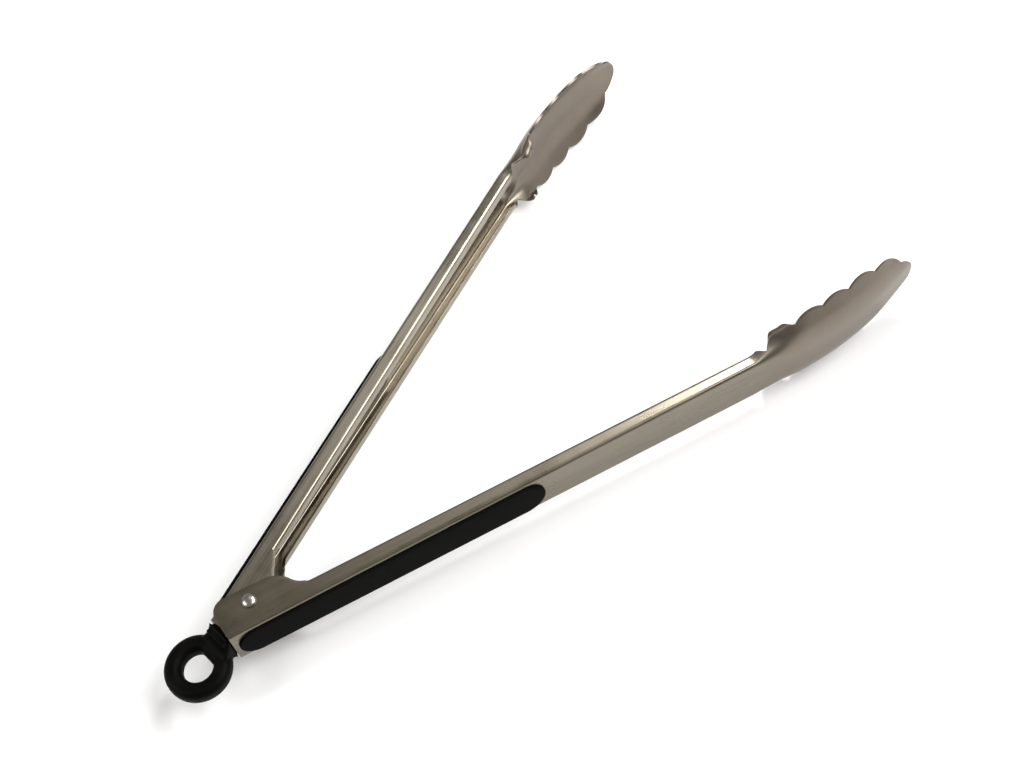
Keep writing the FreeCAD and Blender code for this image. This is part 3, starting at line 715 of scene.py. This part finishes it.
def makeLeg(name, foot, way):
    across = way.cross(Vector((0, 0, 1)))
    up = Vector((0, 0, 1))
    sides, radius, reach = spring["sides"], spring["wireRadius"], spring["legReach"]
    rows = []
    nose = 0.3
    stops = [(0.0, 0.0), (0.0, 1.0)] + [(t, 1.0) for t in spread(0.5, reach - nose, 26)]
    for a in spread(0, math.pi / 2, 4)[1:]:
        stops.append((reach - nose + nose * math.sin(a), 1 - 0.4 * (1 - math.cos(a))))
    stops += [(reach, 0.0)]
    for distance, share in stops:
        rows.append([foot + way * distance + (across * math.cos(a) + up * math.sin(a)) * radius * share
                     for a in spread(0, 2 * math.pi, sides)])
    leg = faceOut(gridPiece(name, rows, hingePlace()))
    settle(leg, 60)
    dress(leg, finishes["wire"])
    return leg


makeSpring()
print("spring made")


# rivet: a profile turned about the hinge axis
def lathe(name, profile, sides, matrix):
    rows = [[(radius * math.cos(a), radius * math.sin(a), height) for a in spread(0, 2 * math.pi, sides)]
            for radius, height in profile]
    return faceOut(gridPiece(name, rows, matrix))


rivet = {"shank": 1.7, "seat": 9.75, "domeRadius": 2.68, "domeHeight": 1.46, "brim": 0.28, "sides": 64}


def makeRivet():
    half = []
    rise = rivet["domeHeight"] - rivet["brim"]
    for a in spread(math.pi / 2, 0.0, 14):
        half.append((rivet["domeRadius"] * math.cos(a), rivet["seat"] + rivet["brim"] + rise * math.sin(a)))
    half += [(rivet["domeRadius"], rivet["seat"] + 0.06), (rivet["domeRadius"] - 0.06, rivet["seat"]),
             (rivet["shank"], rivet["seat"])]
    profile = half + [(radius, -height) for radius, height in reversed(half)]
    piece = lathe("rivetPin", profile, rivet["sides"], hingePlace())
    settle(piece, 50)
    dress(piece, finishes["rivet"])
    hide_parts("pivot_rivet")
    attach(piece, "hinge_core")


makeRivet()
print("rivet made")


# pull ring: swept band, flared collar and tongue moulded together
pullRing = {"centre": -28.1, "outer": 12.4, "hole": 5.75, "height": 7.9, "round": 3.05, "level": -3.6,
            "collarFace": -14.85, "collarHalf": 5.95, "collarTall": 15.8, "collarRoot": -21.5,
            "rootHalf": 7.4, "rootTall": 7.2, "tongueFace": -10.9, "tongueHalf": 4.5, "tongueTall": 13.2,
            "voxel": 0.36, "flat": 4.7, "flatHalf": 3.4, "gateTurn": 232.0, "gateSize": 0.8}


def bandTree():
    labels = {"Middle radius": 9.2, "Band width": 7.0, "Band height": 8.0, "Edge radius": 3.0, "Steps": 96}
    tree = Tree("ringBand", labels)
    line = tree.add("GeometryNodeCurvePrimitiveCircle", None,
                    {"Resolution": tree.inlet("Steps"), "Radius": tree.inlet("Middle radius")})
    flat = tree.add("GeometryNodeCurvePrimitiveQuadrilateral", {"mode": "RECTANGLE"},
                    {"Width": tree.inlet("Band width"), "Height": tree.inlet("Band height")})
    soft = tree.add("GeometryNodeFilletCurve", {"mode": "POLY"},
                    {"Curve": flat, "Count": 8, "Radius": tree.inlet("Edge radius"), "Limit Radius": True})
    band = tree.add("GeometryNodeCurveToMesh", None, {"Curve": line, "Profile Curve": soft})
    tree.close(band, finishes["ring"])
    return tree


def loftBoxes(sections):
    # closed form through rounded rectangles given as (x, y half, z half, corner)
    rows = []
    for x, halfY, halfZ, corner in sections:
        row = []
        for quarter, (sy, sz) in enumerate(((1, 1), (-1, 1), (-1, -1), (1, -1))):
            for t in spread(0, math.pi / 2, 6):
                a = quarter * math.pi / 2 + t
                row.append((x, sy * (halfY - corner) + corner * math.cos(a),
                            sz * (halfZ - corner) + corner * math.sin(a)))
        rows.append(row)
    form = bmesh.new()
    grid = [[form.verts.new(p) for p in row] for row in rows]
    count = len(rows[0])
    for i in range(len(rows) - 1):
        for j in range(count):
            k = (j + 1) % count
            form.faces.new((grid[i][j], grid[i][k], grid[i + 1][k], grid[i + 1][j]))
    form.faces.new(list(reversed(grid[0])))
    form.faces.new(grid[-1])
    bmesh.ops.recalc_face_normals(form, faces=form.faces)
    return form


def makeRing():
    middle = (pullRing["outer"] + pullRing["hole"]) / 2
    values = {"Middle radius": middle, "Band width": pullRing["outer"] - pullRing["hole"],
              "Band height": pullRing["height"], "Edge radius": pullRing["round"], "Steps": 120}
    piece = growMesh("pullRing", bandTree(), values)
    placeMesh(piece, Matrix.Translation((pullRing["centre"], 0, pullRing["level"])))
    form = bmesh.new()
    form.from_mesh(piece.data)
    bmesh.ops.recalc_face_normals(form, faces=form.faces)
    root, face = pullRing["collarRoot"], pullRing["collarFace"]
    widen = pullRing["collarHalf"] - pullRing["rootHalf"]
    heighten = pullRing["collarTall"] - pullRing["rootTall"]
    sections = []
    for t in spread(0, 1, 10):
        # the collar grows tall only close to its face
        sections.append((root + (face - root) * t, pullRing["rootHalf"] + widen * ease(0, 0.8, t),
                         (pullRing["rootTall"] + heighten * t ** 5) / 2, 1.2))
    collar = loftBoxes(sections)
    for vertex in collar.verts:
        t = (vertex.co.x - root) / (face - root)
        vertex.co.z += pullRing["level"] * (1 - ease(0, 1, t))
    tongue = loftBoxes([(face - 3, pullRing["tongueHalf"], pullRing["tongueTall"] / 2, 0.8),
                        (pullRing["tongueFace"], pullRing["tongueHalf"], pullRing["tongueTall"] / 2, 0.8)])
    # the hole is flat on the neck side, and the mould's gate leaves a nub outside
    inset = loftBoxes([(pullRing["centre"] + pullRing["flat"], pullRing["flatHalf"], 3.0, 1.4),
                       (pullRing["centre"] + 9.0, pullRing["flatHalf"] + 1.2, 3.0, 1.4)])
    for vertex in inset.verts:
        vertex.co.z += pullRing["level"]
    for extra in (collar, tongue, inset):
        spare = bpy.data.meshes.new("spare")
        extra.to_mesh(spare)
        extra.free()
        form.from_mesh(spare)
        bpy.data.meshes.remove(spare)
    gate = math.radians(pullRing["gateTurn"])
    reach = pullRing["outer"] - 0.45
    spot = Matrix.Translation((pullRing["centre"] + reach * math.cos(gate), reach * math.sin(gate),
                               pullRing["level"]))
    bmesh.ops.create_icosphere(form, subdivisions=3, radius=pullRing["gateSize"], matrix=spot)
    form.to_mesh(piece.data)
    form.free()
    remesh = piece.modifiers.new("mould", "REMESH")
    remesh.mode = "VOXEL"
    remesh.voxel_size = pullRing["voxel"]
    soften = piece.modifiers.new("soften", "SMOOTH")
    soften.factor = 0.5
    soften.iterations = 7
    settle(piece, 80)
    placeMesh(piece, hingePlace())
    dress(piece, finishes["ring"])
    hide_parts("pull_ring")
    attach(piece, "lock_slide")
    print("pullRing faces", len(piece.data.polygons))


makeRing()


# parts whose CAD shape is right keep it and get their finish
for nodeName, finishName in (("outer_grip_carrier", "carrier"), ("inner_grip_carrier", "carrier"),
                             ("spring_spool", "spool"), ("lock_plate", "plateSteel")):
    for materialSlot in frame["nodes"][nodeName].material_slots:
        materialSlot.material = finishes[finishName]
print("carried-over parts finished")


# floor, light and camera
studio = {
    "floorTone": (0.93, 0.93, 0.93, 1), "floorHalf": 4.0,
    "worldTone": (0.90, 0.88, 0.84, 1), "worldStrength": 0.33,
    # position, aim, width, height, watts
    "lights": (("key", (1.15, -0.95, 1.60), (0.05, 0.0, 0.0), 1.5, 1.5, 50.0),
               ("left", (-1.5, 0.7, 1.3), (0.0, 0.0, 0.0), 1.2, 1.2, 22.0),
               ("strip", (0.345, 0.11, 0.56), (0.07, -0.05, 0.03), 0.14, 0.14, 1.8),
               ("fill", (0.11, 0.27, 0.56), (-0.02, 0.01, 0.03), 0.16, 0.16, 0.12)),
}
shot = {"target": (13.737, -1.255, 20.66), "azimuth": -125.109, "elevation": 58.551, "distance": 586.14,
        "roll": 11.111, "lens": 53.13}


def makeFloor():
    look = Look("floorPaper")
    where = look.place()
    fibre = look.noise(where, 700.0, 4.0, 0.6, 2.2)
    colour = look.blend(look.mapped(fibre, 0.3, 0.7), studio["floorTone"],
                        tuple(c * 0.985 for c in studio["floorTone"][:3]) + (1,))
    paper = look.finish(colour=colour, rough=0.9, normal=look.bump(fibre, 0.05, 0.00005))
    half = studio["floorHalf"]
    steps = spread(-half, half, 8)
    floor = gridPiece("floor", [[(x, y, 0.0) for y in steps] for x in steps], Matrix.Identity(4))
    floor.data.flip_normals()
    floor.data.materials.append(paper)


def makeLights():
    for name, position, aim, width, height, watts in studio["lights"]:
        data = bpy.data.lights.new(name, "AREA")
        data.shape = "RECTANGLE"
        data.size, data.size_y, data.energy = width, height, watts
        lamp = bpy.data.objects.new(name, data)
        lamp.location = position
        lamp.rotation_euler = (Vector(aim) - Vector(position)).to_track_quat("-Z", "Y").to_euler()
        bpy.context.scene.collection.objects.link(lamp)
    world = bpy.data.worlds.new("studioAir")
    world.use_nodes = True
    sky = world.node_tree.nodes["Background"]
    sky.inputs["Color"].default_value = studio["worldTone"]
    sky.inputs["Strength"].default_value = studio["worldStrength"]
    bpy.context.scene.world = world
    bpy.context.scene.view_settings.view_transform = "Standard"


def makeCamera():
    azimuth, elevation, roll = (math.radians(shot[k]) for k in ("azimuth", "elevation", "roll"))
    back = Vector((math.cos(azimuth) * math.cos(elevation), math.sin(azimuth) * math.cos(elevation),
                   math.sin(elevation)))
    right = Vector((-math.sin(azimuth), math.cos(azimuth), 0.0))
    up = back.cross(right)
    across = math.cos(roll) * right - math.sin(roll) * up
    upward = math.sin(roll) * right + math.cos(roll) * up
    data = bpy.data.cameras.new("camera")
    data.lens, data.sensor_width = shot["lens"], 36.0
    data.clip_start, data.clip_end = 0.02, 20.0
    camera = bpy.data.objects.new("camera", data)
    bpy.context.scene.collection.objects.link(camera)
    matrix = Matrix((across, upward, back)).transposed().to_4x4()
    matrix.translation = (Vector(shot["target"]) + back * shot["distance"]) * mm
    camera.matrix_world = matrix
    bpy.context.scene.camera = camera


makeFloor()
makeLights()
makeCamera()
print("studio ready")

bpy.context.view_layer.update()
